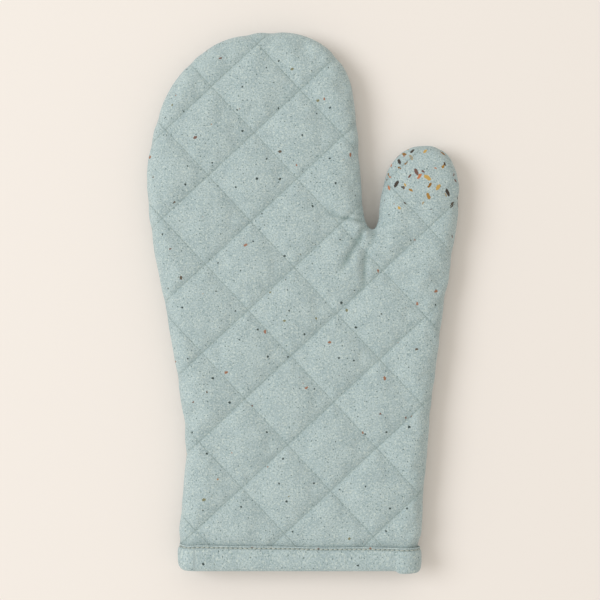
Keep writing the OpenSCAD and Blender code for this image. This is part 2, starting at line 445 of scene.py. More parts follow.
def outer_depth_sewn(points, angle):
    """The face before it is puffed up: between the rows the cloth lies about half as deep as on them."""
    lie, rest = outer_depth(points, angle, 0.55, 0.45)
    return lie * (1 - 0.5 * thumb_share(points)) + rest


def edge_details(points, angle):
    """The seam pinches the edge, and rows of quilting pull it in where they reach it."""
    share = math.sin(math.radians(angle)) ** 2
    near = nearest_row(points)
    pull = ROW_PULL * np.exp(-((near / (3.5 * MM)) ** 2)) + 0.35 * MM * wander(points, 17 * MM, 5.3)
    pinch = SEAM_PINCH * float(smooth(76, 90, angle))
    notch = np.exp(-((np.hypot(*(points[:, :2] - CROTCH).T) / (13 * MM)) ** 2))
    puff_out = EDGE_PUFF * float(smooth(10, 50, angle)) * (1 - 2.2 * notch)
    return (share * pull - puff_out) * (1 - pressed(points)) + pinch


def inner_depth(points, angle):
    """The face of the lining puffs into the pocket, less than the cloth does outside."""
    share = math.cos(math.radians(angle))
    lie = 0.7 * MM * share * (groove(points) - 0.5)
    return PANEL_T - lie - PRESS * pressed(points)


# ---------------------------------------------------------------- the outer face, puffed by cloth simulation


def shade_smooth(mesh):
    for face in mesh.polygons:
        face.use_smooth = True


def paint(mesh, name, kind, values):
    """Stores one value per point under a name that the materials read."""
    channel = mesh.attributes.new(name, kind, "POINT")
    channel.data.foreach_set("value" if kind == "FLOAT" else "vector", np.array(values, np.float32).ravel())


def object_of(name, mesh):
    thing = bpy.data.objects.new(name, mesh)
    bpy.context.scene.collection.objects.link(thing)
    return thing


def puff(points):
    """Blows the sewn cloth up between its rows of stitches, with Blender's cloth."""
    blown = object_of("puffing", mesh_of("puffing", points, FACES))
    near = nearest_row(points)
    rows = near < 0.25 * MM
    ring = np.zeros(len(points), int)
    for k in range(1, RINGS + FLANGES + 1):
        ring[ring_index(k, 0) : ring_index(k, 0) + COUNT] = k
    held = rows & (ring == 0)
    held |= ring >= RINGS - 3
    held |= points[:, 1] < BINDING_Y + 1.5 * MM
    # A row of stitches on the rounded edge seldom meets a station, so the nearest ones are held part way
    part = (ring > 0) & ~held & (near < 1.3 * MM)
    group = blown.vertex_groups.new(name="sewn")
    group.add([int(i) for i in np.flatnonzero(held)], 1.0, "REPLACE")
    group.add([int(i) for i in np.flatnonzero(part)], 0.8, "REPLACE")
    cloth = blown.modifiers.new("Puff", "CLOTH")
    settings = cloth.settings
    settings.vertex_group_mass = "sewn"
    settings.quality = 6
    settings.mass = 0.3
    settings.air_damping = 1.0
    settings.tension_stiffness = 30
    settings.compression_stiffness = 30
    settings.shear_stiffness = 12
    settings.bending_stiffness = 0.6
    settings.shrink_min = -0.016
    settings.use_pressure = True
    settings.uniform_pressure_force = 9.0
    settings.effector_weights.gravity = 0
    cloth.collision_settings.use_collision = False
    cloth.point_cache.frame_start = 1
    cloth.point_cache.frame_end = 22
    for step in range(1, 23):
        bpy.context.scene.frame_set(step)
    bpy.context.view_layer.update()
    shaped = blown.evaluated_get(bpy.context.evaluated_depsgraph_get())
    out = np.array([v.co[:] for v in shaped.data.vertices])
    bpy.data.objects.remove(blown, do_unlink=True)
    bpy.context.scene.frame_set(1)
    move = out - points
    far = np.linalg.norm(move, axis=1)
    limit = 5.0 * MM
    move *= np.minimum(1, limit / np.maximum(far, 1e-9))[:, None]
    return points + move


def outer_face():
    rows = surface(outer_depth_sewn)
    rows += flange_rows(SEAM_PINCH, 0.05 * MM)
    points = np.vstack(rows)
    return puff(points)


def inner_face():
    rows = surface(inner_depth)
    rows += flange_rows(PANEL_T, ALLOWANCE_T)
    return np.vstack(rows)


# Creases that run out from the crotch between thumb and fingers: each is a line of places
# in millimetres from the crotch, with its depth and half width in millimetres
CREASES = [
    ([(-1, 0.8), (-3.3, 0.5), (-7.5, -3.7), (-8.6, -8)], 1.1, 1.1),
    ([(-2, -1), (-4.2, -2.3), (-7, -6.5), (-8, -9)], 0.9, 0.9),
    ([(-6.5, -6), (-7.9, -8.4), (-12.6, -14.5), (-18, -24), (-24, -34)], 0.8, 2.6),
    ([(-1, 2), (-5.6, 2.8), (-13.5, 4.7), (-19.6, 5.1), (-31, 12)], 0.85, 1.3),
    ([(-2, 6.6), (-5.1, 7), (-11.2, 7.5), (-18, 9.6)], 0.7, 1.2),
    ([(0.9, -3), (-0.5, -9.3), (-4.2, -14.5), (-5.1, -20), (-6, -36), (-16, -50)], 0.75, 2.1),
    ([(5, 1.0), (6.5, 1.2), (12, 2.4), (17, 2.6)], 0.5, 1.2),
    ([(-10, -9), (-16, -8), (-24, -12)], 0.45, 2.4),
    ([(6, -3), (14, -5), (24, -4)], 0.3, 2.6),
]


def crease_depth(points):
    """How far the creases fold the cloth in. It is a little below 0 beside them, where the cloth rises."""
    total = np.zeros(len(points))
    for line, depth, width in CREASES:
        places = smooth_path(CROTCH + np.array(line) * MM, 1.0 * MM)
        best = np.full(len(points), np.inf)
        where = np.zeros(len(points))
        for k, (a, b) in enumerate(zip(places[:-1], places[1:])):
            ab = b - a
            t = np.clip(((points[:, :2] - a) @ ab) / (ab @ ab), 0, 1)
            far = np.linalg.norm(points[:, :2] - a - t[:, None] * ab, axis=1)
            nearer = far < best
            best = np.where(nearer, far, best)
            where = np.where(nearer, (k + t) / (len(places) - 1), where)
        x = best / (width * MM)
        shape = np.exp(-(x**2)) - 0.35 * np.exp(-((x - 2.2) ** 2))
        fade = smooth(0, 0.12, where + 0.05) * (1 - smooth(0.5, 1, where))
        total += 1.35 * depth * MM * shape * fade
    return total


def lift_share():
    """How squarely each point of the layout faces up: 1 on the flat, 0 at the seam and under the binding."""
    share = np.zeros(len(CLOTH))
    share[: len(FLAT)] = 1
    for k, angle in enumerate(EDGE_ANGLES[1:], start=1):
        first = ring_index(k, 0)
        share[first : first + COUNT] = math.cos(math.radians(angle))
    return share


def refine(points):
    """One smooth subdivision of the layout. Its own points come first in the result."""
    thing = object_of("refining", mesh_of("refining", points, FACES))
    finer = thing.modifiers.new("Finer", "SUBSURF")
    finer.levels = 1
    shaped = thing.evaluated_get(bpy.context.evaluated_depsgraph_get())
    out = np.array([v.co[:] for v in shaped.data.vertices])
    faces = [list(f.vertices) for f in shaped.data.polygons]
    bpy.data.objects.remove(thing, do_unlink=True)
    return out, faces


def finish_face(outer, front):
    """Adds what the hands and the stove leave: creases, soft dents and the flat that it lies on."""
    out = outer.copy()
    seed = 1.7 if front else 8.9
    body = FINE_LIFT * (1 - pressed(out))
    dents = 0.35 * MM * wander(out, 55 * MM, seed) + 0.22 * MM * wander(out, 13 * MM, seed + 4)
    dents += 0.14 * MM * wander(out, 5.5 * MM, seed + 9) * (0.35 + groove(out))
    out[:, 2] += body * dents
    out[:, 2] -= body * row_crease(out)
    if front:
        out[:, 2] -= crease_depth(out) * np.clip(body + 0.15, 0, 1)
    else:
        # The back lies on the worktop, which flattens its puffs
        flat_z = HALF_H - 0.05 * MM
        under = np.sqrt(np.clip(flat_z - out[:, 2], 0, None) ** 2 + (0.1 * MM) ** 2) - 0.1 * MM
        out[:, 2] = np.where(FINE_LIFT > 0.02, flat_z - under, np.minimum(out[:, 2], flat_z))
    return out


# ---------------------------------------------------------------- slices of a panel


def painted_shade_amount(points, front):
    """Painted shade in the folds of the print: along the rows, in the creases at the crotch and beside the
    tape."""
    # Shade painted into the colour along the rows, more strongly along the rising ones
    uneven = 0.6 + 0.8 * wander(points, 24 * MM, 8.1)
    deep = 1.1 * np.exp(-row_distance(points, RISING) / (1.2 * MM))
    deep = np.maximum(deep, 0.7 * uneven * np.exp(-row_distance(points, FALLING) / (2.2 * MM)))
    if front:
        folded = np.maximum(crease_depth(points) / MM, 0)
        deep = deep + np.minimum(3.2 * folded**1.6, 4.0)
    # and painted shade just above the tape's upper edge
    above = points[:, 1] - BINDING_Y - tape_rise(points[:, 0])
    return deep + 1.3 * np.exp(-((above / (2.6 * MM)) ** 2))


def layer(name, outer, inner, faces, start, end, front):
    """One layer of a panel: the closed slice between two shares of the way from its outer face to its
    inner one. A coarse layer takes the layout's own points, which come first in the fine ones."""
    side = 1 if front else -1
    count = 1 + max(max(f) for f in faces)
    outer, inner = outer[:count], inner[:count]
    skins = [outer * (1 - share) + inner * share for share in (start, end)]
    skins = [skin * [1, 1, side] + [0, 0, MID_Z] for skin in skins]
    ordered = faces if front else [f[::-1] for f in faces]
    closed = ordered + [[v + count for v in f[::-1]] for f in ordered]
    edges = {(a, b) for f in ordered for a, b in zip(f, f[1:] + f[:1])}
    closed += [[b, a, a + count, b + count] for a, b in sorted(edges) if (b, a) not in edges]
    mesh = mesh_of(name, np.vstack(skins), closed)
    thing = object_of(name, mesh)
    shift = [0, 0] if front else [0.5, 0.3]
    places = np.zeros((2 * count, 3), np.float32)
    places[:, :2] = np.vstack([FINE_CLOTH[:count], FINE_CLOTH[:count]]) + shift
    paint(mesh, "cloth", "FLOAT_VECTOR", places)
    # Shade painted into the print's colour in the folds, as one value per point
    paint(mesh, "painted_shade", "FLOAT", np.tile(painted_shade_amount(outer, front), 2))
    shade_smooth(mesh)
    return thing


# ---------------------------------------------------------------- materials


def new_material(name):
    material = bpy.data.materials.new(name)
    material.use_nodes = True
    tree = material.node_tree
    shader = tree.nodes["Principled BSDF"]
    return material, tree, shader


def add(tree, kind, **values):
    node = tree.nodes.new(kind)
    for key, value in values.items():
        setattr(node, key, value)
    return node


def settle(node, values):
    """Sets plain values on the named sockets of a node."""
    for name, value in values.items():
        node.inputs[name].default_value = value


def sum_of(tree, operation, a, b=None, c=None):
    node = add(tree, "ShaderNodeMath", operation=operation)
    for socket, value in zip(node.inputs, (a, b, c)):
        if value is None:
            continue
        if isinstance(value, (int, float)):
            socket.default_value = value
        else:
            tree.links.new(value, socket)
    return node.outputs[0]


def mix_colour(tree, share, a, b):
    node = add(tree, "ShaderNodeMix", data_type="RGBA")
    for socket, value in ((node.inputs[0], share), (node.inputs[6], a), (node.inputs[7], b)):
        if isinstance(value, (int, float)):
            socket.default_value = value
        elif isinstance(value, tuple):
            socket.default_value = (*value, 1)
        else:
            tree.links.new(value, socket)
    return node.outputs[2]


def linear(red, green, blue):
    """Linear colour of an sRGB one given from 0 to 255."""
    shares = [c / 255 for c in (red, green, blue)]
    return tuple(c / 12.92 if c <= 0.04045 else ((c + 0.055) / 1.055) ** 2.4 for c in shares)


def ranged(tree, value, low, high, to_low=0.0, to_high=1.0):
    node = add(tree, "ShaderNodeMapRange", clamp=True, interpolation_type="SMOOTHSTEP")
    tree.links.new(value, node.inputs[0])
    for socket, number in zip(node.inputs[1:5], (low, high, to_low, to_high)):
        socket.default_value = number
    return node.outputs[0]


def noise_value(tree, place, size, detail=2.0, roughness=0.5):
    node = add(tree, "ShaderNodeTexNoise", noise_dimensions="3D")
    tree.links.new(place, node.inputs["Vector"])
    settle(node, {"Scale": 1 / size, "Detail": detail, "Roughness": roughness})
    return node.outputs["Fac"], node.outputs["Color"]


def shaken(tree, place, size, amount):
    """The place moved about a little, so that round flecks come out ragged."""
    _, colour = noise_value(tree, place, size)
    centred = add(tree, "ShaderNodeVectorMath", operation="SUBTRACT")
    tree.links.new(colour, centred.inputs[0])
    centred.inputs[1].default_value = (0.5, 0.5, 0.5)
    scaled = add(tree, "ShaderNodeVectorMath", operation="SCALE")
    tree.links.new(centred.outputs[0], scaled.inputs[0])
    scaled.inputs["Scale"].default_value = amount * 2
    moved = add(tree, "ShaderNodeVectorMath", operation="ADD")
    tree.links.new(place, moved.inputs[0])
    tree.links.new(scaled.outputs[0], moved.inputs[1])
    return moved.outputs[0]


def flecks(tree, place, spacing, smallest, largest, share):
    """Scattered flecks: (how much of the fleck shows here, a random value per fleck)."""
    cells = add(tree, "ShaderNodeTexVoronoi", voronoi_dimensions="2D", feature="F1")
    tree.links.new(place, cells.inputs["Vector"])
    cells.inputs["Scale"].default_value = 1 / spacing
    parts = add(tree, "ShaderNodeSeparateColor")
    tree.links.new(cells.outputs["Color"], parts.inputs[0])
    spread = (largest - smallest) / spacing
    radius = sum_of(tree, "MULTIPLY_ADD", parts.outputs[1], spread, smallest / spacing)
    depth = sum_of(tree, "SUBTRACT", radius, cells.outputs["Distance"])
    shape = ranged(tree, depth, 0.0, 0.16 * MM / spacing)
    kept = sum_of(tree, "LESS_THAN", parts.outputs[0], share)
    return sum_of(tree, "MULTIPLY", shape, kept), parts.outputs[2]


def stretched(tree, place, turn, length):
    """The place turned and squeezed one way, so that flecks come out longer than they are wide."""
    node = add(tree, "ShaderNodeMapping", vector_type="TEXTURE")
    tree.links.new(place, node.inputs["Vector"])
    settle(node, {
        "Location": (turn * 0.01, turn * 0.007, 0),
        "Rotation": (0, 0, turn),
        "Scale": (length, 1.0, 1.0),
    })
    return node.outputs[0]


def palette(tree, value, colours):
    ramp = add(tree, "ShaderNodeValToRGB")
    ramp.color_ramp.interpolation = "CONSTANT"
    tree.links.new(value, ramp.inputs[0])
    points = ramp.color_ramp.elements
    while len(points) < len(colours):
        points.new(0.5)
    for k, colour in enumerate(colours):
        points[k].position = k / len(colours)
        points[k].color = (*linear(*colour), 1)
    return ramp.outputs[0]


def weave_height(tree, place, pitch):
    """Height of a plain weave, from 0 to 1."""
    split = add(tree, "ShaderNodeSeparateXYZ")
    tree.links.new(shaken(tree, place, 4 * MM, 0.12 * MM), split.inputs[0])
    waves = []
    for axis in (0, 1):
        turns = sum_of(tree, "MULTIPLY", split.outputs[axis], 2 * math.pi / pitch)
        waves.append(sum_of(tree, "SINE", turns))
    product = sum_of(tree, "MULTIPLY", waves[0], waves[1])
    return sum_of(tree, "MULTIPLY_ADD", product, 0.5, 0.5)


def printed_cotton(name, chips):
    """Grey-green cotton printed with fine dark specks and a few warm flecks, like terrazzo."""
    material, tree, shader = new_material(name)
    place = add(tree, "ShaderNodeAttribute", attribute_name="cloth").outputs["Vector"]
    mottle = ranged(tree, noise_value(tree, place, 11 * MM, 5, 0.6)[0], 0.35, 0.65)
    ground = mix_colour(tree, mottle, linear(164, 181, 186), linear(178, 194, 198))
    grain = noise_value(tree, place, 0.9 * MM, 4, 0.7)[0]
    ground = mix_colour(tree, ranged(tree, grain, 0.42, 0.66, 0, 0.84), ground, linear(134, 154, 154))
    pale = noise_value(tree, shaken(tree, place, 3 * MM, 1 * MM), 1.1 * MM, 3, 0.7)[0]
    ground = mix_colour(tree, ranged(tree, pale, 0.48, 0.66, 0, 0.85), ground, linear(196, 208, 204))
    ragged = shaken(tree, place, 0.9 * MM, 0.62 * MM)
    tiny, _ = flecks(tree, place, 1.1 * MM, 0.06 * MM, 0.33 * MM, 0.6)
    small, _ = flecks(tree, ragged, 2.6 * MM, 0.1 * MM, 0.45 * MM, 0.6)
    dots, _ = flecks(tree, ragged, 15 * MM, 0.15 * MM, 0.88 * MM, 0.62)
    colour = mix_colour(tree, sum_of(tree, "MULTIPLY", tiny, 0.6), ground, linear(92, 116, 116))
    colour = mix_colour(tree, sum_of(tree, "MULTIPLY", small, 0.74), colour, linear(66, 86, 86))
    colour = mix_colour(tree, sum_of(tree, "MULTIPLY", dots, 0.92), colour, linear(40, 54, 53))
    for turn in WARM_TURNS:
        slanted = stretched(tree, ragged, turn, 1.5)
        warm, kind = flecks(tree, slanted, 23 * MM, 0.25 * MM, 0.95 * MM, 0.5)
        shown = sum_of(tree, "MULTIPLY", warm, 0.9)
        colour = mix_colour(tree, shown, colour, palette(tree, kind, WARM_COLOURS))
    if chips:
        split = add(tree, "ShaderNodeSeparateXYZ")
        tree.links.new(place, split.inputs[0])
        right = ranged(tree, split.outputs[0], CROTCH[0] + 2 * MM, CROTCH[0] + 8 * MM)
        above = ranged(tree, split.outputs[1], CROTCH[1] + 5 * MM, CROTCH[1] + 15 * MM)
        zone = sum_of(tree, "GREATER_THAN", sum_of(tree, "MULTIPLY", right, above), 0.5)
        for turn in CHIP_TURNS:
            slanted = stretched(tree, ragged, turn, 2.1)
            chip, sort = flecks(tree, slanted, 7.0 * MM, 0.5 * MM, 1.3 * MM, 0.66)
            shown = sum_of(tree, "MULTIPLY", chip, zone)
            colour = mix_colour(tree, shown, colour, palette(tree, sort, CHIP_COLOURS))
    # Painted shade: the print is darkened towards this colour in its folds and in the dip at the tape's
    # stitches
    painted_shade = add(tree, "ShaderNodeAttribute", attribute_name="painted_shade").outputs["Fac"]
    colour = mix_colour(tree, sum_of(tree, "MULTIPLY", painted_shade, 0.16), colour, linear(112, 132, 130))
    tree.links.new(colour, shader.inputs["Base Color"])
    rough = ranged(tree, grain, 0.3, 0.7, 0.82, 0.95)
    tree.links.new(rough, shader.inputs["Roughness"])
    settle(shader, {"Sheen Weight": 0.18, "Sheen Roughness": 0.5, "Specular IOR Level": 0.25})
    cloth_bump(tree, shader, place, WEAVE_PITCH)
    return material


def cloth_bump(tree, shader, place, pitch):
    weave = add(tree, "ShaderNodeBump")
    settle(weave, {"Strength": 0.55, "Distance": 0.09 * MM})
    tree.links.new(weave_height(tree, place, pitch), weave.inputs["Height"])
    soft = add(tree, "ShaderNodeBump")
    settle(soft, {"Strength": 0.5, "Distance": 0.35 * MM})
    tree.links.new(noise_value(tree, place, 2.4 * MM, 3, 0.6)[0], soft.inputs["Height"])
    tree.links.new(weave.outputs[0], soft.inputs["Normal"])
    tree.links.new(soft.outputs[0], shader.inputs["Normal"])


def plain_cloth(name, light, dark, pitch, fuzzy=0.0):
    """Undyed cotton or batting: a weave or felt of two close colours."""
    material, tree, shader = new_material(name)
    place = add(tree, "ShaderNodeAttribute", attribute_name="cloth").outputs["Vector"]
    grain = noise_value(tree, place, 1.1 * MM, 4, 0.7)[0]
    weave = weave_height(tree, place, pitch)
    share = sum_of(tree, "MULTIPLY_ADD", weave, 0.25 * (1 - fuzzy), ranged(tree, grain, 0.3, 0.7, 0, 0.7))
    tree.links.new(mix_colour(tree, share, light, dark), shader.inputs["Base Color"])
    tree.links.new(ranged(tree, grain, 0.3, 0.7, 0.85, 0.98), shader.inputs["Roughness"])
    settle(shader, {"Sheen Weight": 0.2 + 0.4 * fuzzy, "Specular IOR Level": 0.2})
    cloth_bump(tree, shader, place, pitch)
    return material


def thread_material(name, light, dark):
    """Twisted sewing thread: fine slanting strands with a slight sheen."""
    material, tree, shader = new_material(name)
    place = add(tree, "ShaderNodeTexCoord").outputs["Object"]
    split = add(tree, "ShaderNodeSeparateXYZ")
    tree.links.new(place, split.inputs[0])
    slant = sum_of(tree, "ADD", sum_of(tree, "ADD", split.outputs[0], split.outputs[1]), split.outputs[2])
    strands = sum_of(tree, "SINE", sum_of(tree, "MULTIPLY", slant, 2 * math.pi / (0.3 * MM)))
    height = sum_of(tree, "MULTIPLY_ADD", strands, 0.5, 0.5)
    mottle = noise_value(tree, place, 2 * MM, 2)[0]
    # The hollows between the strands are painted darker: painted shade that follows the strands' height
    share = sum_of(tree, "MULTIPLY", height, ranged(tree, mottle, 0.2, 0.8, 0.5, 1.0))
    tree.links.new(mix_colour(tree, share, dark, light), shader.inputs["Base Color"])
    tree.links.new(ranged(tree, mottle, 0.3, 0.7, 0.5, 0.7), shader.inputs["Roughness"])
    shader.inputs["Sheen Weight"].default_value = 0.15
    bump = add(tree, "ShaderNodeBump")
    settle(bump, {"Strength": 0.5, "Distance": 0.05 * MM})
    tree.links.new(height, bump.inputs["Height"])
    tree.links.new(bump.outputs[0], shader.inputs["Normal"])
    return material


PRINT_FRONT = printed_cotton("printed_cotton_front", chips=True)
PRINT_PLAIN = printed_cotton("printed_cotton_plain", chips=False)
BATTING = plain_cloth("batting", linear(238, 234, 222), linear(222, 216, 200), 2.1 * MM, fuzzy=1.0)
LINING = plain_cloth("lining", linear(226, 221, 206), linear(200, 194, 176), 0.7 * MM)
TEAL_THREAD = thread_material("teal_thread", linear(164, 181, 180), linear(130, 149, 148))
PALE_THREAD = thread_material("pale_thread", linear(216, 222, 214), linear(166, 176, 170))


def dress(thing, material, slot, *nodes):
    """Gives a finished piece its material and its body, and hides the CAD parts that it stands for."""
    thing.data.materials.clear()
    thing.data.materials.append(material)
    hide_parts(*nodes)
    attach(thing, "root")
    return thing


# ---------------------------------------------------------------- panels


def sunk_face(face):
    """The layout's own points, lowered to the lowest fine point beside them, so that the coarse padding
    stays under the fine cloth."""
    quads = np.array([f if len(f) == 4 else f + f[:1] for f in FINE_FACES])
    lowest = face[:, 2].copy()
    np.minimum.at(lowest, quads.ravel(), np.repeat(face[quads, 2].min(1), 4))
    out = face.copy()
    out[:, 2] = np.where(FINE_LIFT > 0.3, lowest - 0.1 * MM, face[:, 2])
    return out[: len(CLOTH)]


def panel(front, face):
    side = "front" if front else "back"
    cloth = layer(side + "_cloth", face, INNER, FINE_FACES, 0.0, 0.1, front)
    dress(cloth, PRINT_FRONT if front else PRINT_PLAIN, "printed_cotton", side + "_shell")
    padding = layer(side + "_padding", sunk_face(face), INNER, FACES, 0.17, 0.82, front)
    dress(padding, BATTING, "batting", side + "_batting")
    lining = layer(side + "_inner_cloth", face, INNER, FACES, 0.88, 1.0, front)
    dress(lining, LINING, "lining", side + "_lining")


FINE_OUTER, FINE_FACES = refine(outer_face())
INNER = refine(inner_face())[0]
fine_layout = refine(np.column_stack([CLOTH, lift_share()]))[0]
FINE_CLOTH, FINE_LIFT = fine_layout[:, :2], fine_layout[:, 2]
FRONT_FACE = finish_face(FINE_OUTER, True)
BACK_FACE = finish_face(FINE_OUTER, False)
panel(True, FRONT_FACE)
panel(False, BACK_FACE)


# ---------------------------------------------------------------- stitches


def surface_tree(points):
    return BVHTree.FromPolygons([Vector(p) for p in points], FINE_FACES)


def height_on(tree, place):
    """Height above the seam of a panel's face over a place, or None where there is no face."""
    hit = tree.ray_cast(Vector((place[0], place[1], 0.1)), Vector((0, 0, -1)))
    return None if hit[0] is None else hit[0].z


def stitch_piece(name, runs, radius, material, slot, *nodes):
    """One piece made of separate stitches. Each run is the list of points along one stitch."""
    sides = 6
    points, faces = [], []
    for run in runs:
        run = np.array(run)
        ahead = np.gradient(run, axis=0)
        ahead /= np.linalg.norm(ahead, axis=1)[:, None]
        up = np.tile([0.0, 0.0, 1.0], (len(run), 1))
        up[np.abs(ahead[:, 2]) > 0.9] = [0.83, 0.55, 0.0]
        right = np.cross(ahead, up)
        right /= np.linalg.norm(right, axis=1)[:, None]
        above = np.cross(right, ahead)
        first = len(points)
        for k, place in enumerate(run):
            taper = 0.5 if k in (0, len(run) - 1) else 1.0
            for side in range(sides):
                turn = 2 * math.pi * side / sides
                out = math.cos(turn) * right[k] + math.sin(turn) * above[k]
                points.append(place + radius * taper * out)
        for ring in range(len(run) - 1):
            for side in range(sides):
                a = first + ring * sides + side
                b = first + ring * sides + (side + 1) % sides
                faces.append([a, b, b + sides, a + sides])
        faces.append([first + side for side in range(sides)][::-1])
        faces.append([first + (len(run) - 1) * sides + side for side in range(sides)])
    thing = object_of(name, mesh_of(name, points, faces))
    shade_smooth(thing.data)
    return dress(thing, material, slot, *nodes)


def row_lines(family):
    """Each row of one direction as [start, end], cut off where it meets the seam or the binding."""
    normal, offset, pitch = family
    along = np.array([normal[1], -normal[0]])
    loop = np.vstack([RIM[RIM[:, 1] > BINDING_Y], [RIM[-1][0], BINDING_Y], [RIM[0][0], BINDING_Y]])
    reach = row_place(loop, family)
    lines = []
    for k in range(math.ceil(reach.min()), math.floor(reach.max()) + 1):
        base = normal * (offset + k * pitch)
        hits = []
        for a, b in zip(loop, np.roll(loop, -1, axis=0)):
            high, low = (a - base) @ normal, (b - base) @ normal
            if (high > 0) != (low > 0):
                hits.append(float((a + (b - a) * high / (high - low) - base) @ along))
        hits.sort()
        for start, end in zip(hits[0::2], hits[1::2]):
            if end - start > 12 * MM:
                lines.append((base + along * start, base + along * end))
    return lines


def stitches_along(line, tree, height, side, seed):
    """Separate stitches along one row, each a short arc that dips into the cloth at both ends."""
    start, end = line
    length = float(np.linalg.norm(end - start))
    ahead = (end - start) / length
    aside = np.array([-ahead[1], ahead[0]])
    runs = []
    margin = 2.5 * MM
    count = int((length - 2 * margin) / STITCH_PITCH)
    for k in range(count):
        middle = margin + (k + 0.5) * STITCH_PITCH
        drift = aside * 0.25 * MM * noise.noise((middle / (30 * MM), seed, 2.0))
        run = []
        for t in (-1.0, -0.86, -0.4, 0.4, 0.86, 1.0):
            place = start + ahead * (middle + t * 0.42 * STITCH_PITCH) + drift
            z = height_on(tree, place)
            if z is None:
                break
            dip = (0.55 * MM if abs(t) == 1.0 else 0.08 * MM if abs(t) > 0.8 else 0) - height
            run.append([place[0], place[1], MID_Z + side * (z - dip)])
        if len(run) == 6:
            runs.append(run)
    return runs


def quilting_threads(side_name, outer, inner):
    side = 1 if side_name == "front" else -1
    outside, within = surface_tree(outer), surface_tree(inner)
    for name, family in (("rising", RISING), ("falling", FALLING)):
        lines = row_lines(family)
        top, below = [], []
        for k, line in enumerate(lines):
            top += stitches_along(line, outside, 0.03 * MM, side, k + 0.5)
            below += stitches_along(line, within, -0.12 * MM, side, k + 0.5)
        node = side_name + "_quilting_" + name
        piece = side_name + "_quilting_stitches_" + name
        stitch_piece(piece, top, THREAD_R, TEAL_THREAD, "teal_thread", node)
        node = side_name + "_bobbin_" + name
        piece = side_name + "_bobbin_stitches_" + name
        stitch_piece(piece, below, THREAD_R, PALE_THREAD, "pale_thread", node)


quilting_threads("front", FRONT_FACE, INNER)
quilting_threads("back", BACK_FACE, INNER)


# ---------------------------------------------------------------- seam that joins the panels


def seam_place(at):
    """A place on the outline and the inward direction there, at a distance along it."""
    return np.array([np.interp(at, RIM_RUN, RIM[:, k]) for k in (0, 1)]), unit(
        np.array([np.interp(at, RIM_RUN, INWARD[:, k]) for k in (0, 1)])
    )


def unit(v):
    return v / np.linalg.norm(v)


RIM_RUN = np.concatenate([[0], np.cumsum(np.linalg.norm(np.diff(RIM, axis=0), axis=1))])
SEAM_IN = PANEL_T + 0.3 * MM  # the row of stitches runs just inside the wall of the pocket


def seam_threads():
    """Lockstitches through the seam allowance: needle thread in front, bobbin thread behind."""
    pitch = 2.6 * MM
    start = 14 * MM
    count = int((RIM_RUN[-1] - 2 * start) / pitch)
    for name, side, node in (
        ("side_seam_needle_stitches", 1, "side_seam_needle_thread"),
        ("side_seam_bobbin_stitches", -1, "side_seam_bobbin_thread"),
    ):
        runs = []
        for k in range(count):
            run = []
            for t in (-1.0, -0.8, 0.0, 0.8, 1.0):
                place, inward = seam_place(start + (k + 0.5) * pitch + t * 0.42 * pitch)
                place = place + inward * (SEAM_IN + 1.2 * MM)
                dip = 0.5 * MM if abs(t) == 1.0 else 0.0
                run.append([*place, MID_Z + side * (ALLOWANCE_T + 0.12 * MM - dip)])
            runs.append(run)
        stitch_piece(name, runs, THREAD_R, TEAL_THREAD, "teal_thread", node)


def overlock():
    """Zigzag loops over the raw edge of the seam allowance, as one long thread."""
    pitch = 3.2 * MM
    start = 16 * MM
    count = int((RIM_RUN[-1] - 2 * start) / pitch)
    track = []
    for k in range(count):
        for share, deep, high in (
            (0.0, -3.6, 1),
            (0.22, -1.2, 1),
            (0.42, 0.25, 0.6),
            (0.5, 0.4, 0),
            (0.58, 0.25, -0.6),
            (0.78, -1.2, -1),
        ):
            place, inward = seam_place(start + (k + share) * pitch)
            place = place + inward * (ALLOWANCE_W + deep * MM)
            track.append([*place, MID_Z + high * (ALLOWANCE_T + 0.2 * MM)])
    return stitch_piece("overlock_loops", [track], 0.26 * MM, PALE_THREAD, "pale_thread", "overlock_thread")


seam_threads()
overlock()


# ---------------------------------------------------------------- binding of the cuff

BINDING_W = BINDING_Y - CUFF_Y
LAP_X = (CUFF_RIGHT - 14 * MM, CUFF_RIGHT + 1 * MM)


def cuff_section(run):
    """A place on the ring of the cuff, seen along Y: run goes once round from the left end over the front
    panel to the right end and back under it. Returns x, height above the seam and the outward normal."""
    left, right = RIM[0][0] + PRESS + 0.5 * MM, RIM[-1][0] - PRESS
    radius = HALF_H - PRESS
    flat = right - left - 2 * radius
    arc = math.pi * radius
    at = run * (2 * flat + 2 * arc)
    if at < flat:
        return left + radius + at, radius, (0.0, 1.0)
    at -= flat
    if at < arc:
        turn = at / radius
        across, up = math.sin(turn), math.cos(turn)
        return right - radius + radius * across, radius * up, (across, up)
    at -= arc
    if at < flat:
        return right - radius - at, -radius, (0.0, -1.0)
    turn = (at - flat) / radius
    across, up = math.sin(turn), math.cos(turn)
    return left + radius - radius * across, -radius * up, (-across, -up)


def binding_profile():
    """The tape's path in one cross-section: [distance above the cuff edge, depth below the outer face],
    from the folded-in edge outside, round the cuff edge, to the folded-in edge inside."""
    w = BINDING_W
    out = [(w - 3.0 * MM, 0.8), (w - 0.8 * MM, 0.7), (w - 0.15 * MM, 0.5), (w, 0.1), (w - 0.12 * MM, -0.2)]
    out += [(w - 0.5 * MM, -0.35), (w - 0.95 * MM, 0.65), (w - 1.4 * MM, 0.6), (w - 2.0 * MM, -0.65)]
    out += [(w - 3.6 * MM, -1.05), (w - 6.5 * MM, -1.1), (w - 9.4 * MM, -0.9), (1.3 * MM, -0.45)]
    out += [(0.45 * MM, 0.15), (0.05 * MM, 1.0), (0.0, 2.0)]
    return [(y, d * MM) for y, d in out]


VALLEY = (6, 7)  # the points of the profile that are darkened with painted shade, in the dip at the row of stitches
VALLEY_SHADE = 3.4  # and how strongly the shade is painted
TAPE_BULGE = range(8, 14)  # the points of the profile that are a little wavy
LYING_Z = 0.3 * MM  # no point of the tape's path is placed lower
TAPE_LENGTH = 2 * (RIM[-1][0] - RIM[0][0])  # once round the flattened cuff


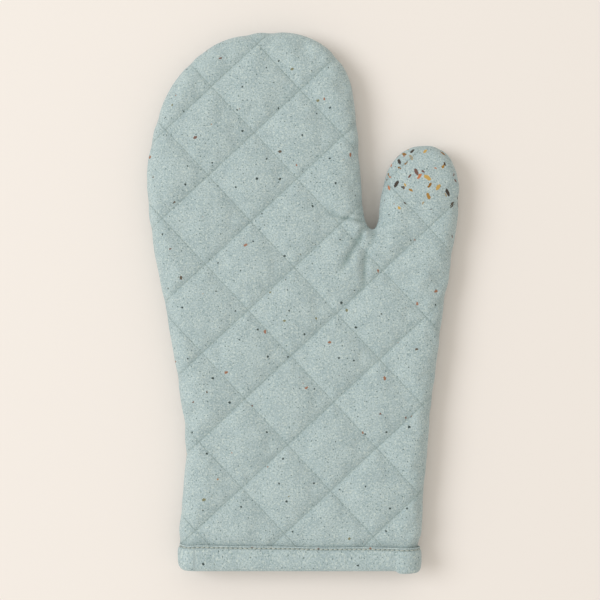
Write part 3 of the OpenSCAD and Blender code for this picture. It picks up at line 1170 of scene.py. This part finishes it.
def binding():
    """The tape round the cuff: one strip folded over the raw edge, lying on the front of the panel,
    round the edge and inside the mouth. Its ends lap near the thumb side."""
    around = 260  # steps once round the cuff
    profile = binding_profile()
    inside_face = PANEL_T - PRESS
    inside_part = [(y, inside_face - 0.55 * d) for y, d in reversed(profile[:-1])]
    path = profile + inside_part
    points, cloth = [], []
    steps = [math.dist(a, b) for a, b in zip(path, path[1:])]
    for k in range(around):
        run = k / around
        for j, (y, depth) in enumerate(path):
            x, height, normal = cuff_section(run)
            wave = 0.0
            if j in TAPE_BULGE:
                wave = 0.22 * MM * noise.noise((run * 55, y / (4 * MM), 1.5))
                wave += 0.3 * MM * noise.noise((run * 21, 3.1, 1.5))
            droop = tape_droop(run, x) if y > BINDING_W * 0.5 else 0
            depth = depth - wave
            bump = lap_bump(x, height)
            px = x - normal[0] * (depth - bump)
            pz = height - normal[1] * (depth - bump)
            edge = -bump * 1.7 if y < 2 * MM else 0
            pz = max(pz, LYING_Z - MID_Z)
            points.append([px, CUFF_Y + y + droop + edge + corner_lift(x, y), MID_Z + pz])
            cloth.append([0.9 + run * TAPE_LENGTH, sum(steps[:j]), 0])
    faces = []
    count = len(path)
    for k in range(around):
        for j in range(count - 1):
            a, b = k * count + j, (k + 1) % around * count + j
            faces.append([a, b, b + 1, a + 1])
    thing = object_of("cuff_tape", mesh_of("cuff_tape", points, faces))
    # Shade painted into the tape's colour in the dip at its row of stitches
    valley = [VALLEY_SHADE if j in VALLEY else 0.0 for j in range(len(path))]
    paint(thing.data, "cloth", "FLOAT_VECTOR", cloth)
    paint(thing.data, "painted_shade", "FLOAT", np.tile(valley, around))
    thick = thing.modifiers.new("Thickness", "SOLIDIFY")
    thick.thickness = 0.45 * MM
    thick.offset = 0
    finer = thing.modifiers.new("Finer", "SUBSURF")
    finer.levels = finer.render_levels = 1
    shade_smooth(thing.data)
    return dress(thing, PRINT_PLAIN, "printed_cotton", "cuff_binding")


def tape_droop(run, x):
    """How far above its plain width the upper edge of the tape is sewn, at one place round the cuff."""
    return 0.5 * MM * noise.noise((run * 9, 0.3, 4.4)) + tape_rise(x)


def lap_bump(x, height):
    """Extra thickness where the end of the tape laps over its start, on the front by the thumb side."""
    if height < 0:
        return 0
    start, end = LAP_X
    from_start = smooth(start - 0.8 * MM, start + 0.8 * MM, x)
    return 0.9 * MM * float(from_start * (1 - smooth(end, end + 3 * MM, x)))


def corner_lift(x, y):
    """The bottom corners of the tape are rounded a little."""
    lift = 0.0
    left = (RIM[0][0] + PRESS - 0.3 * MM, 3.6 * MM)
    right = (RIM[-1][0] - PRESS + 0.8 * MM, 2.5 * MM)
    for end, radius in (left, right):
        into = min(max(radius - abs(x - end), 0.0), radius)
        lift += radius - math.sqrt(radius**2 - into**2)
    return lift * float(1 - smooth(0, 9 * MM, y))


cuff_tape = binding()


def topstitches(name, inside, node):
    """The row of stitches that holds the tape: pale and regular, right round the cuff."""
    pitch = 2.9 * MM
    x0, x1 = RIM[0][0], RIM[-1][0]
    radius = HALF_H - PRESS
    round_trip = 2 * (x1 - x0 - 2 * radius) + 2 * math.pi * radius
    count = int(round_trip / pitch)
    runs = []
    for k in range(count):
        run = []
        for t in (-1.0, -0.8, 0.0, 0.8, 1.0):
            x, height, normal = cuff_section(((k + 0.5 + t * 0.36) / count) % 1.0)
            bump = lap_bump(x, height)
            depth = PANEL_T - PRESS + 0.15 * MM if inside else 0.22 * MM - bump
            lift = 0.35 * MM if abs(t) == 1.0 else 0.0
            depth += (-lift if inside else lift) - (0 if inside else 0.32 * MM)
            droop = tape_droop((k + 0.5) / count, x)
            y = CUFF_Y + BINDING_W - 1.2 * MM + droop
            run.append([x - normal[0] * depth, y, MID_Z + height - normal[1] * depth])
        runs.append(run)
    return stitch_piece(name, runs, 0.32 * MM, PALE_THREAD, "pale_thread", node)


topstitches("binding_stitches_outer", False, "binding_topstitch_outer")
topstitches("binding_stitches_inner", True, "binding_topstitch_inner")


# ---------------------------------------------------------------- floor, light, camera


def floor():
    mesh = mesh_of("floor", [(-3, -3, 0), (3, -3, 0), (3, 3, 0), (-3, 3, 0)], [[0, 1, 2, 3]])
    thing = object_of("floor", mesh)
    material, _, shader = new_material("floor_cream")
    settle(shader, {
        "Base Color": (*linear(233, 227, 223), 1),
        "Roughness": 0.9,
        "Specular IOR Level": 0.1,
    })
    mesh.materials.append(material)


def area_light(name, place, aim, size, watts, colour):
    data = bpy.data.lights.new(name, "AREA")
    data.shape = "DISK"
    data.size = size
    data.energy = watts
    data.color = colour
    lamp = object_of(name, data)
    lamp.location = place
    lamp.rotation_euler = (Vector(aim) - Vector(place)).to_track_quat("-Z", "Y").to_euler()


def lights():
    world = bpy.data.worlds.new("studio")
    bpy.context.scene.world = world
    world.use_nodes = True
    background = world.node_tree.nodes["Background"]
    settle(background, {"Color": (1.0, 0.957, 0.875, 1), "Strength": 0.78})
    area_light("key", (-2.4, 0.38, 2.4), (0, 0, 0), 2.0, 59, (0.95, 0.98, 1.0))


def camera():
    data = bpy.data.cameras.new("camera")
    data.lens = 100
    data.sensor_width = 36
    eye = bpy.data.objects.new("camera", data)
    bpy.context.scene.collection.objects.link(eye)
    field = 0.366
    distance = field * data.lens / data.sensor_width
    eye.location = (-0.0012, 0.0014, MID_Z + distance)
    data.clip_start, data.clip_end = 0.05, 20
    bpy.context.scene.camera = eye


floor()
lights()
camera()
bpy.context.scene.view_settings.view_transform = "Standard"
bpy.context.scene.view_settings.look = "None"
